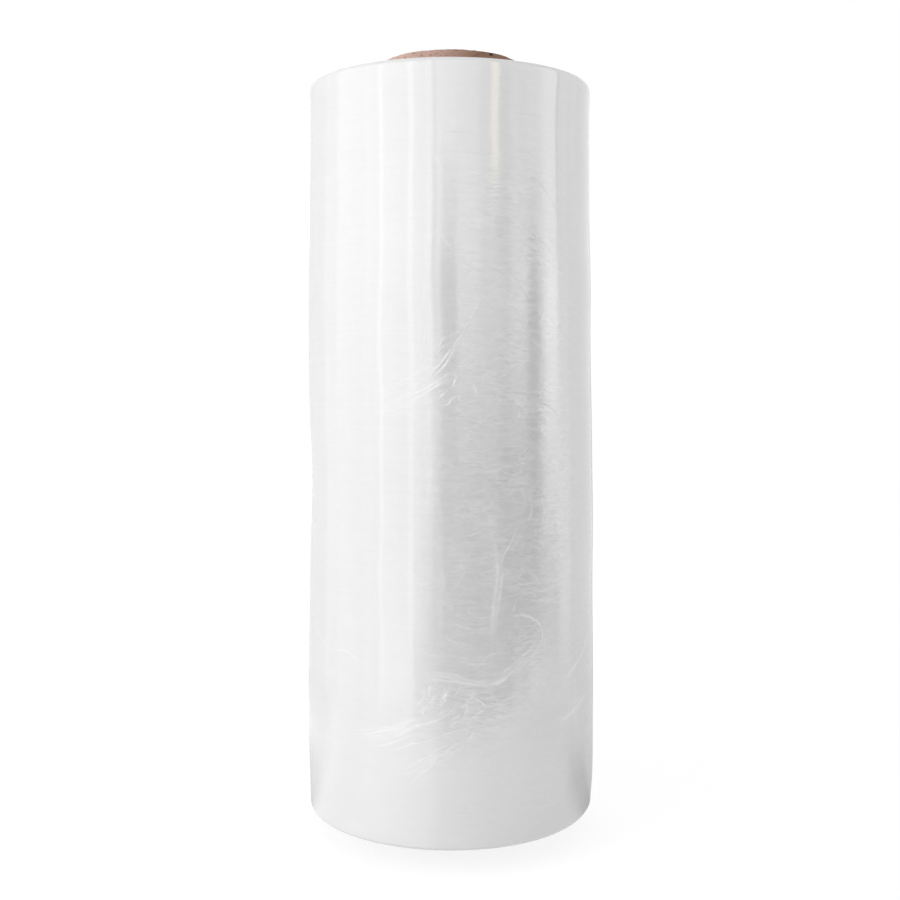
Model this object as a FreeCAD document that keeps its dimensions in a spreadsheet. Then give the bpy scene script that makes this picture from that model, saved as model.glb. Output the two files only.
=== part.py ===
"""Stretch wrap roll: clear film wound on a paperboard core, standing on the core's end.

The origin is the middle of the core's lower end, +Z runs up the core, and the front of the roll faces -Y.
Lengths are in millimetres and angles in degrees.
"""
import FreeCAD, Part
import math
import operator
import os
import Sketcher

SIZES = [
    ("filmWidth", 500.0, "width of the film web, from edge to edge"),
    ("coreBore", 76.2, "inner diameter of the core, for a three-inch mandrel"),
    ("coreWall", 10.0, "wall of the core"),
    ("coreOverhang", 17.5, "length of core that stands out of the film at each end"),
    ("coreEdgeBreak", 0.5, "chamfer on the cut edges of the core"),
    ("footRadius", 100.0, "film radius over its lower soft edge"),
    ("hipRadius", 100.9, "film radius at the hip, low on the roll, where the turns bulge most"),
    ("hipHeight", 85.0, "height of the hip over the film's lower edge"),
    ("waistRadius", 100.0, "film radius at the waist, which runs straight"),
    ("waistStart", 190.0, "height of the waist's lower end over the film's lower edge"),
    ("waistEnd", 350.0, "height of the waist's upper end over the film's lower edge"),
    ("headRadius", 98.5, "film radius from the shoulder up, where it runs straight again"),
    ("shoulderHeight", 420.0, "height of the shoulder over the film's lower edge"),
    ("edgeRounding", 3.0, "how far the soft outer edges of the film reach in, and up or down"),
    ("outerLand", 3.0, "last turns, wound true, between the bands and the soft edge"),
    ("webWander", 0.7, "how far the web strayed up and down while it was wound"),
    ("turnBands", 12, "bands of turns that show on each end of the film"),
    ("nickAngle", 33.6, "how far round from the front the nick in the core lies, towards +X"),
    ("nickWidth", 2.8, "nick in the core, round the wall"),
    ("nickHeight", 1.8, "nick in the core, down from its upper end"),
    ("nickDepth", 0.9, "nick in the core, into the wall"),
]
BAND_SWING = 137.5  # each band is this far round its up-and-down swing from the band inside it
SOFT_EDGE_CUT = 1 - math.sqrt(0.5)  # share of the rounding that its middle lies in from the sharp corner
BARREL_STEPS = 3  # stretches that ease the barrel from one radius to the next

doc = FreeCAD.newDocument("StretchWrapRoll")
sheet = doc.addObject("Spreadsheet::Sheet", "sizes")
for row, (alias, value, note) in enumerate(SIZES, start=1):
    sheet.set("A%d" % row, note)
    sheet.set("B%d" % row, str(value))
    sheet.setAlias("B%d" % row, alias)
doc.recompute()


class Size:
    """An expression on the sheet, with what it comes to now: a sketch starts from that number."""

    signs = {"+": operator.add, "-": operator.sub, "*": operator.mul, "/": operator.truediv}

    def __init__(self, text, value):
        self.text = text
        self.value = value

    def joined(self, sign, other):
        if not isinstance(other, Size):
            other = Size("%.6g" % other, other)
        return Size("(%s %s %s)" % (self.text, sign, other.text), self.signs[sign](self.value, other.value))

    def __add__(self, other):
        return self.joined("+", other)

    def __sub__(self, other):
        return self.joined("-", other)

    def __mul__(self, other):
        return self.joined("*", other)

    def __truediv__(self, other):
        return self.joined("/", other)


size = {alias: Size("sizes." + alias, value) for alias, value, note in SIZES}
core_radius = size["coreBore"] / 2 + size["coreWall"]
core_length = size["filmWidth"] + size["coreOverhang"] * 2
film_foot = size["coreOverhang"]
film_head = size["coreOverhang"] + size["filmWidth"]


def new_body(label):
    body = doc.addObject("PartDesign::Body", label)
    body.Label = label
    return body


def origin_plane(body, role):
    return next(f for f in body.Origin.OriginFeatures if f.Role == role)


def new_sketch(body, name, role):
    sketch = body.newObject("Sketcher::SketchObject", name)
    sketch.AttachmentSupport = (origin_plane(body, role), [""])
    sketch.MapMode = "FlatFace"
    return sketch


def bind(sketch, kind, *where_and_length):
    """Adds a sketch dimension and ties it to the length that comes last."""
    *where, length = where_and_length
    dimension = sketch.addConstraint(Sketcher.Constraint(kind, *where, length.value))
    sketch.setExpression("Constraints[%d]" % dimension, length.text)


def add_circle(sketch, radius):
    """A circle round the sketch's origin."""
    centre = FreeCAD.Vector(0, 0, 0)
    circle = sketch.addGeometry(Part.Circle(centre, FreeCAD.Vector(0, 0, 1), radius.value))
    sketch.addConstraint(Sketcher.Constraint("Coincident", circle, 3, -1, 1))
    bind(sketch, "Radius", circle, radius)


def add_outline(sketch, points):
    """A closed outline of straight stretches, each held by the start of the one after it."""
    corners = [FreeCAD.Vector(across.value, up.value, 0) for across, up in points]
    lines = [sketch.addGeometry(Part.LineSegment(a, b)) for a, b in zip(corners, corners[1:] + corners[:1])]
    for line, after, (across, up) in zip(lines, lines[1:] + lines[:1], points):
        sketch.addConstraint(Sketcher.Constraint("Coincident", line, 2, after, 1))
        bind(sketch, "DistanceX", -1, 1, line, 1, across)
        bind(sketch, "DistanceY", -1, 1, line, 1, up)


def level_circles(shape, height):
    """Names of the round edges that lie level at a height."""
    return [
        "Edge%d" % (i + 1)
        for i, edge in enumerate(shape.Edges)
        if edge.Closed and abs(edge.BoundBox.ZMin - height) + abs(edge.BoundBox.ZMax - height) < 1e-3
    ]


def make_core_tube():
    """The spiral-wound paperboard tube, with broken edges and one small nick at its upper end."""
    body = new_body("core_tube")
    wall = new_sketch(body, "CoreWall", "XY_Plane")
    add_circle(wall, core_radius)
    add_circle(wall, size["coreBore"] / 2)
    tube = body.newObject("PartDesign::Pad", "CoreLength")
    tube.Profile = wall
    tube.setExpression("Length", core_length.text)
    doc.recompute()

    cut_ends = body.newObject("PartDesign::Chamfer", "CutEnds")
    cut_ends.Base = (tube, level_circles(tube.Shape, 0) + level_circles(tube.Shape, core_length.value))
    cut_ends.setExpression("Size", size["coreEdgeBreak"].text)
    doc.recompute()
    add_nick(body)
    return body


def add_nick(body):
    """A box cut into the core's outer edge: its middle lies at the nick's angle, half out of the wall."""
    turn = "(%s * 1 deg)" % size["nickAngle"].text
    floor = (core_radius - size["nickDepth"]).text
    half = (size["nickWidth"] / 2).text
    nick = body.newObject("PartDesign::SubtractiveBox", "Nick")
    nick.AttachmentSupport = (origin_plane(body, "XY_Plane"), [""])
    nick.MapMode = "FlatFace"
    nick.setExpression("Length", size["nickWidth"].text)
    nick.setExpression("Width", (size["nickDepth"] * 2).text)
    nick.setExpression("Height", (size["nickHeight"] * 2).text)
    nick.setExpression("AttachmentOffset.Rotation.Angle", "180 deg + " + turn)
    nick.setExpression("AttachmentOffset.Base.x", "%s * sin%s + %s * cos%s" % (floor, turn, half, turn))
    nick.setExpression("AttachmentOffset.Base.y", "%s * sin%s - %s * cos%s" % (half, turn, floor, turn))
    nick.setExpression("AttachmentOffset.Base.z", (core_length - size["nickHeight"]).text)
    doc.recompute()


def turn_bands(face, outer_radius):
    """Points along one end of the film, from the core out to its last turns, which lie true.

    The web keeps its width, so where it strayed up, both ends of the film stand higher.
    """
    count = size["turnBands"].value
    reach = outer_radius - size["edgeRounding"] - size["outerLand"]
    points = [
        (
            core_radius + (reach - core_radius) * band / count,
            face + size["webWander"] * math.sin(math.radians(BAND_SWING * band)),
        )
        for band in range(count)
    ]
    return points + [(reach, face)]


def soft_edge(face, inward, outer_radius):
    """Points of the last turns' soft edge: two flats along its rounding, short of where the barrel starts.

    Inward is 1 at the lower end of the film and -1 at the upper one.
    """
    cut = size["edgeRounding"] * SOFT_EDGE_CUT
    return [(outer_radius - size["edgeRounding"], face), (outer_radius - cut, face + cut * inward)]


def barrel():
    """Points up the outside of the film: straight at the waist and the head, eased in and out between."""
    stations = [
        (size["footRadius"], film_foot + size["edgeRounding"]),
        (size["hipRadius"], film_foot + size["hipHeight"]),
        (size["waistRadius"], film_foot + size["waistStart"]),
        (size["waistRadius"], film_foot + size["waistEnd"]),
        (size["headRadius"], film_foot + size["shoulderHeight"]),
        (size["headRadius"], film_head - size["edgeRounding"]),
    ]
    points = []
    for (radius, height), (next_radius, next_height) in zip(stations, stations[1:]):
        steps = 1 if radius is next_radius else BARREL_STEPS
        for step in range(steps):
            share = step / steps
            ease = (1 - math.cos(math.pi * share)) / 2
            points.append((radius + (next_radius - radius) * ease, height + (next_height - height) * share))
    return points + [stations[-1]]


def make_film_roll():
    """All turns of the film as one solid: a soft barrel, with the bands of its turns on both ends."""
    body = new_body("film_roll")
    foot = turn_bands(film_foot, size["footRadius"]) + soft_edge(film_foot, 1, size["footRadius"])
    head = turn_bands(film_head, size["headRadius"]) + soft_edge(film_head, -1, size["headRadius"])
    section = new_sketch(body, "FilmSection", "XZ_Plane")
    add_outline(section, foot + barrel() + head[::-1])
    doc.recompute()

    turns = body.newObject("PartDesign::Revolution", "Turns")
    turns.Profile = section
    turns.ReferenceAxis = (section, ["V_Axis"])
    turns.Angle = 360
    doc.recompute()
    return body


core_tube = make_core_tube()
film_roll = make_film_roll()

for thing in doc.Objects:
    if "Invalid" in thing.State or "Error" in thing.State:
        raise RuntimeError("%s failed: %s" % (thing.Name, thing.State))
os.makedirs("parts", exist_ok=True)
for body in (core_tube, film_roll):
    if body.Shape.isNull() or not body.Shape.isValid():
        raise RuntimeError("%s has no valid shape" % body.Label)
    body.Shape.exportStep("parts/%s.step" % body.Label)
    print(body.Label, "%.0f cubic mm" % body.Shape.Volume)
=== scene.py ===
# A roll of stretch wrap on a white table: clear film wound on a paperboard core.
# Lengths are in metres, +Z is up, and the side that faces the camera looks towards -Y.
import bpy
import bmesh
import math
import random
import numpy as np
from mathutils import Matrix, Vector, noise


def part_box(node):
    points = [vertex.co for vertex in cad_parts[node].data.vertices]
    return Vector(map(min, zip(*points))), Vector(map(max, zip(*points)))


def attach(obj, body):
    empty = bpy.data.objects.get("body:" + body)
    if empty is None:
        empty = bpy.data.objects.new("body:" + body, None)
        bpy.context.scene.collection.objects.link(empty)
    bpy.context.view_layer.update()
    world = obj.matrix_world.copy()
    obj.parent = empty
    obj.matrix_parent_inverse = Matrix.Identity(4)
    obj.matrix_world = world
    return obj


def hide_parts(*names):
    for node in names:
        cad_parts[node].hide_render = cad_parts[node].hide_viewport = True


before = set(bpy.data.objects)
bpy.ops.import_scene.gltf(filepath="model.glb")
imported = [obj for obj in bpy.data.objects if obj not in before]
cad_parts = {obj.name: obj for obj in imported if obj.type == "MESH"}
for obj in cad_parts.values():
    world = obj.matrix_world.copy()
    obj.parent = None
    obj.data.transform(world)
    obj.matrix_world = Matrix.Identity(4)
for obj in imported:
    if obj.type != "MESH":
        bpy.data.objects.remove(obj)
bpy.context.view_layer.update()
print("frame loaded")


# Shader helpers. A signal is a socket that can be added, multiplied and so on.
class Signal:
    def __init__(self, sheet, socket):
        self.sheet = sheet
        self.socket = socket

    def __add__(self, other):
        return self.sheet.maths("ADD", self, other)

    def __radd__(self, other):
        return self.sheet.maths("ADD", other, self)

    def __sub__(self, other):
        return self.sheet.maths("SUBTRACT", self, other)

    def __rsub__(self, other):
        return self.sheet.maths("SUBTRACT", other, self)

    def __mul__(self, other):
        return self.sheet.maths("MULTIPLY", self, other)


class NodeSheet:
    def __init__(self, tree):
        self.tree = tree
        tree.nodes.clear()

    # Settings are set first, then the values or links of the sockets.
    def node(self, kind, settings=None, sockets=None, output=0):
        made = self.tree.nodes.new(kind)
        for name, value in (settings or {}).items():
            if name == "stops":
                self.setStops(made.color_ramp, value)
            else:
                setattr(made, name, value)
        for name, value in (sockets or {}).items():
            if isinstance(value, Signal):
                self.tree.links.new(value.socket, made.inputs[name])
            else:
                made.inputs[name].default_value = value
        return Signal(self, made.outputs[output]) if made.outputs else None

    def setStops(self, ramp, stops):
        while len(ramp.elements) < len(stops):
            ramp.elements.new(1)
        for element, (position, level) in zip(ramp.elements, stops):
            element.position = position
            element.color = (level, level, level, 1)

    def maths(self, operation, first, second):
        return self.node("ShaderNodeMath", {"operation": operation}, {0: first, 1: second})

    def clamped(self, signal):
        return self.node("ShaderNodeClamp", {}, {"Value": signal})

    def ramp(self, signal, stops):
        return self.node("ShaderNodeValToRGB", {"stops": stops}, {"Fac": signal})

    def mixColour(self, factor, first, second):
        return self.node("ShaderNodeMix", {"data_type": "RGBA"}, {0: factor, 6: first, 7: second}, 2)

    def place(self):
        return self.node("ShaderNodeTexCoord", {}, {}, "Object")

    def stretched(self, place, factors):
        return self.node("ShaderNodeVectorMath", {"operation": "MULTIPLY"}, {0: place, 1: factors})

    def noise(self, place, factors, detail, roughness, distortion=0.0):
        return self.node("ShaderNodeTexNoise", {}, {
            "Vector": self.stretched(place, factors),
            "Scale": 1.0,
            "Detail": detail,
            "Roughness": roughness,
            "Distortion": distortion,
        }, "Fac")

    # Noise in rings round the roll's axis.
    def ringNoise(self, radius, detail):
        sockets = {"W": radius, "Scale": 1.0, "Detail": detail, "Roughness": 0.6}
        return self.node("ShaderNodeTexNoise", {"noise_dimensions": "1D"}, sockets, "Fac")

    # Thin lines where a noise passes its middle value.
    def ridge(self, signal, sharpness):
        away = self.node("ShaderNodeMath", {"operation": "ABSOLUTE"}, {0: signal - 0.5})
        return 1 - self.clamped(away * sharpness)

    def fromAxis(self, place):
        flat = self.stretched(place, (1, 1, 0))
        return self.node("ShaderNodeVectorMath", {"operation": "LENGTH"}, {0: flat}, "Value")

    def attribute(self, name):
        return self.node("ShaderNodeAttribute", {"attribute_name": name}, {}, "Fac")

    def bumped(self, height, strength):
        sockets = {"Strength": strength, "Distance": 1.0, "Height": height}
        return self.node("ShaderNodeBump", {}, sockets, "Normal")

    def show(self, shader):
        self.node("ShaderNodeOutputMaterial", {}, {"Surface": shader})


def newMaterial(name):
    material = bpy.data.materials.new(name)
    material.use_nodes = True
    return material, NodeSheet(material.node_tree)


# A point on a ring round the roll's axis, at an angle in radians from the front.
def onRing(radius, angle, height):
    return (radius * math.sin(angle), -radius * math.cos(angle), height)


# The film, all turns as one piece. Heights are over the film's lower edge.
film = {
    "width": 0.500,
    "outline": (  # height and radius
        (0.0, 0.0992), (0.085, 0.1001), (0.190, 0.0992),
        (0.350, 0.0992), (0.420, 0.0977), (0.500, 0.0977),
    ),
    "edgeRounding": 0.003,
    "outerLand": 0.003,  # last turns, wound true
    "coreClearance": 0.00005,
    "columns": 184,
    "rowHeight": 0.0043,
    "refineReaches": (0.0034, 0.0017, 0.0006),  # how near a crease the faces are halved, round by round
    "edgeFade": 0.006,  # height over which the creases die out at both ends
    "turnBands": 12,  # as on the solid: bands whose web strayed up or down
    "bandSwing": 137.5,
    "webWander": 0.0007,
    "fineTurns": 18,  # finer bands within them
    "fineWander": 0.00016,
    "lean": 0.0008,  # how far the film sits over to the right at its foot, and to the left at its head
    "tailAngle": 163.0,  # where the film's free end lies, at the back
    "tailStep": 0.00022,
    "backCreases": 8,
    "hairWidth": 0.00040,
    "creaseReach": 3.2,  # how many widths away a crease has died out
    "fullLift": 0.00025,  # crease height at which the outer turn counts as lifted off whole
    "waves": 14,
    "waveHeights": (0.00001, 0.00003),
    "unevenness": 0.000014,
    "slackUnevenness": 0.00005,
    "seed": 7,
}
coreShape = {
    "bore": 0.0762,
    "wall": 0.010,
    "plySeamPitch": 0.131,
    "seamWidth": 0.0009,
    "seamDepth": 0.00035,
    "plies": 11,
    "plyStep": 0.00012,
    "edgeBreak": 0.0005,
    "columns": 120,
    "boreRow": 0.0045,
    "hiddenRow": 0.0065,  # under the film
    "shownRow": 0.0022,
    "shownLength": 0.022,
    "nickAngle": 34.8,
    "nickWidth": 0.0032,
    "nickHeight": 0.0025,
    "nickDepth": 0.0013,
    "nickRefineReaches": (0.0045, 0.0034, 0.0026),
    "fray": 0.00011,
    "frayReach": 0.004,  # down from the upper end
    "seed": 11,
}
coreRadius = coreShape["bore"] / 2 + coreShape["wall"]
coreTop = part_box("core_tube")[1][2]
filmFoot = (coreTop - film["width"]) / 2
filmHead = filmFoot + film["width"]
filmMiddle = 0.1000  # radius at which distances round the film are counted


# Soft hollows and swells of the barrel: degrees round, height, degrees wide, reach up and down, outward.
swells = (
    (-86, 0.225, 22, 0.042, -0.0016),
    (-84, 0.400, 26, 0.050, 0.0006),
    (-84, 0.310, 30, 0.040, 0.0004),
    (-84, 0.052, 26, 0.036, 0.0005),
    (-60, 0.500, 30, 0.012, 0.0005),
    (60, 0.500, 30, 0.014, 0.0009),
    (84, 0.330, 26, 0.050, -0.0008),
    (84, 0.200, 26, 0.045, 0.0006),
    (84, 0.115, 30, 0.050, -0.0003),
    (70, 0.000, 30, 0.016, -0.0016),
    (-35, 0.060, 40, 0.035, 0.0003),
    (150, 0.280, 35, 0.090, -0.0007),
    (-150, 0.120, 30, 0.060, 0.0005),
)

# Creases of the outer turn: width and height in millimetres, how many strands lie side by side, and then
# points as degrees round and millimetres up. A height below nothing is a groove.
creases = {
    "fanStem": (0.42, 0.22, 1, ((11, 351), (10, 344), (6.5, 333), (3, 323), (-1, 313), (-4, 306), (-8, 300))),
    "fanStemTwin": (0.42, 0.20, 1, ((5, 330), (3.6, 322), (1, 315), (-0.5, 310), (-3, 304), (-6, 299))),
    "fanStemTail": (0.40, 0.10, 2, ((-5, 304), (-11, 295), (-17, 287), (-25, 281))),
    "fanUpper": (0.40, 0.09, 1, ((3, 328), (0.7, 326), (-2, 323), (-4, 318), (-6, 315))),
    "fanUpperTwin": (0.40, 0.08, 3, ((0, 320), (-3, 317), (-5, 313))),
    "fanHookLine": (0.42, 0.26, 2, ((1.4, 301), (-3, 295), (-5, 293), (-9, 289), (-13, 284))),
    "fanHook": (0.50, 0.34, 1, ((1.2, 301), (2, 299), (1.5, 295), (1, 293))),
    "fanLower": (0.40, 0.15, 1, ((4.3, 298), (2, 294), (0, 292), (-3, 287), (-5, 284))),
    "fanSmallHook": (0.45, 0.26, 1, ((3, 288), (0.7, 285), (-0.7, 282), (-3, 281))),
    "fanSmallHookEnd": (0.50, 0.26, 1, ((2.8, 288), (3.2, 286), (3.4, 283))),
    "rightHair": (0.40, 0.13, 1, ((13.7, 312), (12.5, 308), (12, 304))),
    "rightHairLow": (0.40, 0.12, 1, ((13, 301), (12, 297), (11.3, 292))),
    "rightBlot": (0.70, 0.26, 2, ((8.3, 295), (9.2, 291), (10, 286))),
    "rightFoot": (0.40, 0.12, 1, ((11, 285), (7, 283), (5, 281))),
    "highScratch": (0.35, 0.13, 1, ((-0.8, 451), (0.2, 447), (1.1, 442))),
    "highScratchLeft": (0.35, 0.12, 1, ((-5.6, 440), (-3.6, 432), (-1.6, 425))),
    "middleScratch": (0.35, 0.13, 1, ((-3, 388), (-1, 383), (1, 377))),
    "topLevel": (0.40, -0.08, 2, ((-4, 453), (4, 452), (14, 453))),
    "topLevelLong": (0.45, -0.08, 3, ((-4, 440), (6, 440), (12, 439), (19, 440))),
    "topLevelLow": (0.40, -0.08, 2, ((-2, 421), (8, 420), (16, 417), (22, 414))),
    "topLevelRight": (0.40, -0.08, 3, ((23, 467), (32, 466), (40, 465))),
    "slackLevelHigh": (0.45, -0.09, 3, ((25, 443), (31, 441), (36, 439))),
    "rightArc": (0.50, -0.09, 4, ((30, 428), (35, 424), (39, 418), (45, 409), (50, 403))),
    "rightArcLow": (0.50, -0.10, 3, ((30, 392), (36, 386), (42, 379), (47, 374))),
    "middleArc": (0.45, -0.09, 2, ((3.6, 373), (10, 366), (18, 366), (23, 355))),
    "rightSlant": (0.50, -0.10, 2, ((18, 372), (24, 362), (30, 350), (36, 342))),
    "bandStroke": (0.50, -0.14, 2, ((34, 283), (39, 280), (44, 275))),
    "slackDiagonal": (0.40, 0.12, 1, ((31, 257), (28.5, 252), (26, 248))),
    "slantHigh": (0.45, 0.22, 3, ((28.5, 208), (25, 202), (22, 192), (20, 187), (17.6, 177), (16, 171))),
    "slantBranch": (0.45, 0.17, 2, ((31.6, 220), (31, 211), (28.5, 203))),
    "slantSide": (0.42, 0.13, 1, ((25, 207), (22, 205), (18, 199))),
    "slantLow": (1.30, 0.27, 4, ((16.8, 197), (17.2, 185), (17.6, 175), (16, 156), (15.4, 147), (14.6, 130))),
    "stroke": (0.42, 0.15, 1, ((25, 158), (23, 150), (21.4, 147))),
    "ledge": (0.42, 0.12, 2, ((25, 159), (32, 157), (42, 155), (49, 164))),
    "leftDiagonal": (0.42, 0.13, 1, ((6, 179), (3, 171), (0.7, 164))),
    "leftLevel": (0.42, 0.10, 2, ((-2, 174), (2, 178), (6.5, 179))),
    "archLeft": (0.50, 0.16, 2, ((-2, 149), (2, 144), (7, 141), (12, 141), (15, 142))),
    "archLeftLow": (0.45, 0.14, 2, ((-2.5, 137), (1, 133), (6, 131), (10, 129))),
    "archCrown": (0.60, 0.21, 3, ((21, 147), (27, 148), (32, 145), (35, 140), (36, 132), (33, 123))),
    "archFoot": (0.90, 0.19, 4, ((35.5, 132), (32, 124), (27, 119), (22.6, 113), (18.4, 108), (13, 106),
                                 (7, 107), (0, 111), (-5, 112), (-12, 111))),
    "archChord": (0.50, 0.15, 2, ((6, 114), (11, 120), (14, 124), (18, 125), (23, 125))),
    "leftArc": (0.50, 0.10, 2, ((-52, 119), (-44, 121), (-38, 118), (-31, 114))),
    "leftArcHigh": (0.60, 0.08, 2, ((-70, 134), (-60, 124), (-50, 116))),
    "tangleBright": (0.55, 0.36, 1, ((-1, 102), (-2.2, 99), (-3, 97))),
    "tangleLeft": (0.42, 0.24, 1, ((-4.8, 100), (-6.5, 97), (-8, 94))),
    "tangleLeftHigh": (0.42, 0.14, 1, ((-5.4, 106), (-7, 104), (-8.4, 102))),
    "tangleCurl": (0.42, 0.15, 1, ((4.2, 109), (3.6, 105), (1, 99))),
    "tangleFork": (0.45, 0.26, 1, ((8, 102), (7.6, 98), (6, 96), (5.8, 91), (4.7, 86), (3, 83))),
    "tangleForkRight": (0.42, 0.22, 1, ((7.6, 98), (10, 96), (13, 92))),
    "tangleForkLow": (0.42, 0.15, 1, ((13, 92), (9.6, 88), (6.5, 83))),
    "trainHigh": (0.42, 0.24, 2, ((2.4, 92), (0.6, 91), (-2, 87), (-5, 84), (-8, 82), (-12, 80),
                                  (-16, 76), (-23, 70))),
    "trainLeft": (0.42, 0.18, 3, ((-8, 88), (-12, 84), (-16, 81), (-18, 77), (-27, 73), (-36, 67))),
    "trainMiddle": (0.42, 0.16, 2, ((6, 79), (-1, 76), (-8, 71), (-15, 67), (-20, 63), (-24, 59))),
    "trainStart": (0.55, 0.28, 1, ((8.3, 77), (7.2, 74), (5.8, 70))),
    "trainLow": (0.42, 0.23, 1, ((3, 71), (0.6, 68), (-2.5, 63), (-5, 60), (-8, 53), (-12, 48), (-16, 42))),
    "trainLowLeft": (0.42, 0.23, 1, ((-1, 70), (-5, 65), (-8, 61), (-12, 57), (-17, 51))),
    "trainLowRight": (0.42, 0.20, 2, ((4.7, 68), (1, 64), (-1, 61))),
    "trainFoot": (0.40, 0.10, 1, ((-11, 53), (-15, 49), (-19, 47))),
    "rightSweep": (1.00, 0.24, 4, ((67, 88), (60, 82), (54, 78), (48, 75), (43, 77))),
    "rightLongArc": (0.80, 0.18, 3, ((72, 130), (63, 116), (55, 108), (45, 98))),
}

# Short hairs in knots of many: how many, then the middle and the reach in degrees and millimetres, the
# direction that they run in, as degrees up from level, and their length and height in millimetres.
hairKnots = {
    "tangleLeft": (12, (-5, 97), (8, 12), 50, 7, 0.18),
    "tangleMiddle": (13, (2, 90), (10, 15), 42, 7, 0.18),
    "underArch": (10, (8, 123), (14, 12), -14, 10, 0.10),
    "slackMiddle": (14, (22, 186), (16, 46), 24, 9, 0.09),
    "slackRight": (14, (38, 210), (10, 60), -14, 8, 0.10),
    "slackHigh": (9, (34, 380), (14, 34), -28, 9, 0.08),
    "slackLeft": (6, (2, 165), (8, 24), 32, 10, 0.09),
    "backHigh": (8, (140, 330), (20, 60), 30, 12, 0.11),
    "backLow": (10, (185, 110), (26, 40), 35, 12, 0.12),
    "farSide": (6, (-120, 250), (20, 80), 25, 12, 0.10),
}

# Fans of hairs that lie between two lines: how many, width, height, and the points of the two lines.
fans = {
    "archBandRight": (8, 0.60, 0.20, ((38, 133), (34, 124), (28, 117), (23, 111), (16, 105)),
                      ((33, 136), (30, 127), (25, 121), (20, 114), (13, 109))),
    "archBandLeft": (7, 0.60, 0.18, ((18, 106), (10, 104), (2, 107), (-5, 109), (-13, 108)),
                     ((18, 110), (10, 109), (2, 112), (-5, 114), (-13, 115))),
    "mainFan": (12, 0.38, 0.16, ((11, 318), (7, 312), (2, 305), (-2, 300), (-7, 295), (-13, 290), (-20, 285)),
                ((12, 309), (7, 305), (3.6, 299), (-1, 295), (-7, 289), (-13, 284), (-20, 279))),
    "fanTail": (9, 0.38, 0.09, ((-5, 309), (-13, 301), (-24, 293), (-32, 289)),
                ((-6, 290), (-14, 282), (-26, 274), (-34, 270))),
    "lowTrain": (11, 0.38, 0.18, ((-8, 88), (-16, 82), (-28, 75), (-44, 70)),
                 ((-3, 80), (-14, 73), (-24, 65), (-38, 60))),
    "lowTrainRight": (8, 0.40, 0.18, ((4, 70), (-3, 65), (-10, 60), (-18, 54)),
                      ((3, 64), (-4, 57), (-10, 50), (-18, 43))),
    "levelWaves": (9, 0.50, -0.09, ((-3, 239), (6, 237), (14, 238), (22, 236), (30, 232)),
                   ((-4, 222), (6, 222), (14, 220), (22, 221), (30, 218))),
    "levelWavesLow": (8, 0.50, -0.08, ((-3, 168), (6, 164), (14, 160), (20, 156)),
                      ((-4, 153), (6, 152), (12, 150), (18, 150))),
    "ripples": (9, 0.45, 0.10, ((24, 141), (15, 129), (4, 130), (-6, 137)),
                ((24, 119), (14, 112), (4, 114), (-8, 119))),
    "rightFan": (4, 0.50, 0.10, ((76, 108), (66, 95), (56, 86), (44, 82)),
                 ((72, 84), (64, 75), (54, 70), (44, 68))),
    "backFan": (6, 0.50, 0.12, ((196, 230), (186, 208), (174, 196), (158, 190)),
                ((196, 190), (186, 176), (174, 168), (156, 164))),
}

# Patches where the outer turn lies slack and crinkles: degrees round, height, degrees wide, reach, how much.
slackPatches = (
    (14, 0.190, 28, 0.110, 0.80),
    (20, 0.330, 34, 0.120, 0.45),
    (25, 0.020, 50, 0.030, 0.20),
    (40, 0.220, 18, 0.120, 0.6),
    (4, 0.090, 16, 0.024, 0.55),
    (28, 0.400, 24, 0.060, 0.40),
    (-60, 0.110, 22, 0.040, 0.2),
    (70, 0.090, 20, 0.040, 0.5),
    (122, 0.240, 26, 0.110, 0.6),
    (-135, 0.330, 30, 0.080, 0.6),
    (178, 0.120, 34, 0.060, 0.9),
)


# A smooth line through a crease's points, in metres round the film and up it.
def creaseLine(points, steps=7):
    corners = [Vector((math.radians(turn) * filmMiddle, up / 1000)) for turn, up in points]
    corners = [corners[0] * 2 - corners[1]] + corners + [corners[-1] * 2 - corners[-2]]
    line = []
    for a, b, c, d in zip(corners, corners[1:], corners[2:], corners[3:]):
        for step in range(steps):
            t = step / steps
            line.append(0.5 * (2 * b + (c - a) * t + (2 * a - 5 * b + 4 * c - d) * t ** 2
                               + (3 * b - a - 3 * c + d) * t ** 3))
    line.append(corners[-2])
    return np.array([tuple(point) for point in line])


# One strand beside a line: part of its length, pushed sideways by a slow wander.
def strandBeside(line, chance, spread, whole):
    first = 0 if whole else int(chance.uniform(0, 0.45) * len(line))
    last = len(line) if whole else int(chance.uniform(0.6, 1.0) * len(line))
    part = line[first:max(last, first + 4)]
    along = np.gradient(part, axis=0)
    across = np.stack([-along[:, 1], along[:, 0]], 1) / np.hypot(*along.T)[:, None]
    share = np.linspace(0, 1, len(part))
    wander = 0 if whole else chance.uniform(-1, 1)
    for waves in (1, 2, 5):
        swing = chance.uniform(-0.5, 0.5) / waves
        wander = wander + swing * np.sin(share * math.pi * waves + chance.uniform(0, 6))
    return part + across * (wander * spread)[:, None]


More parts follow.
